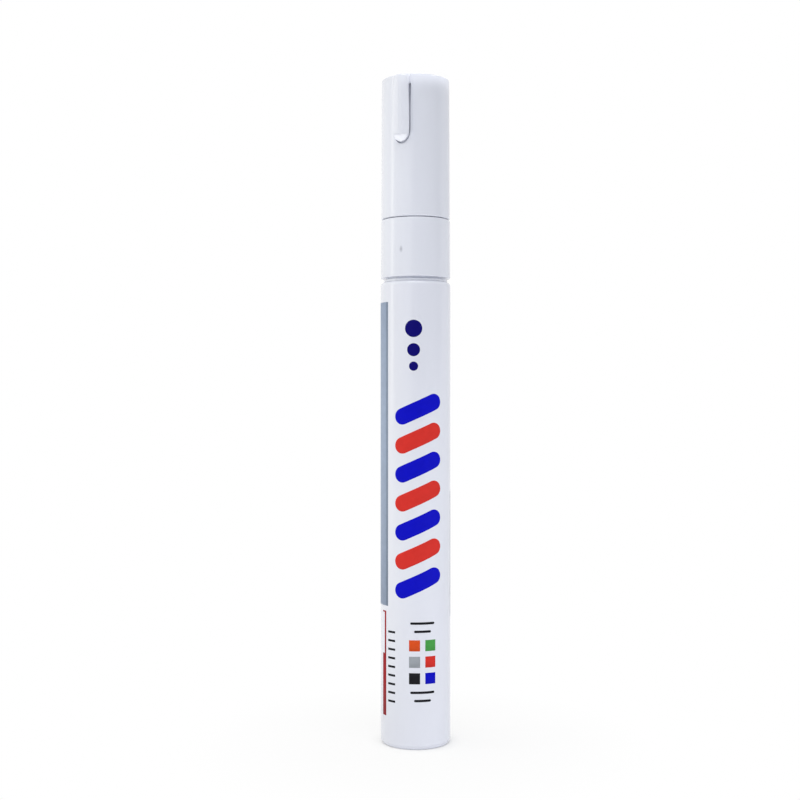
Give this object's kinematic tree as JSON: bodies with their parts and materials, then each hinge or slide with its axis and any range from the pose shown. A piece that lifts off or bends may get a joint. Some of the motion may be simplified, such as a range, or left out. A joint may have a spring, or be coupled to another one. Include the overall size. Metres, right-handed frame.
{
  "type": "paint marker",
  "caption": "Slim round paint marker with a pull-off cap and clip, a spring-loaded valve behind its bullet nib and a mixing ball in an aluminium barrel.",
  "frame": {"origin": "centre of the flat foot that the marker stands on", "axes": "+Z along the marker's axis from foot to cap, -Y towards the clip"},
  "size_m": [0.0148, 0.0157, 0.14],
  "materials": {
    "lacquered_tube": "white lacquer with a printed panel on drawn aluminium",
    "white_moulding": "satin white moulded plastic",
    "liner": "soft natural plastic",
    "fibre": "bonded fibre",
    "valve_plastic": "natural plastic",
    "spring_wire": "drawn wire",
    "ball_steel": "polished ball"
  },
  "bodies": {
    "barrel": {"barrel": "lacquered_tube", "front_section": "white_moulding", "valve_seat": "valve_plastic", "valve_cage": "valve_plastic", "valve_spring": "spring_wire"},
    "cap": {"cap": "white_moulding", "inner_cap": "liner"},
    "nib": {"nib": "fibre", "valve_stem": "valve_plastic"},
    "mixing_ball": {"mixing_ball": "ball_steel"}
  },
  "joints": [
    {"name": "cap_pull", "type": "slide", "parent": "barrel", "child": "cap", "axis": [0, 0, 1], "range_m": [0, 0.04]},
    {"name": "nib_press", "type": "slide", "parent": "barrel", "child": "nib", "axis": [0, 0, -1], "range_m": [0, 0.0025], "stiffness_N_per_m": 1200, "springref_m": -0.0015, "deforming": ["valve_spring"]},
    {"name": "ball_run", "type": "slide", "parent": "barrel", "child": "mixing_ball", "axis": [0, 0, 1], "range_m": [0, 0.077]}
  ]
}
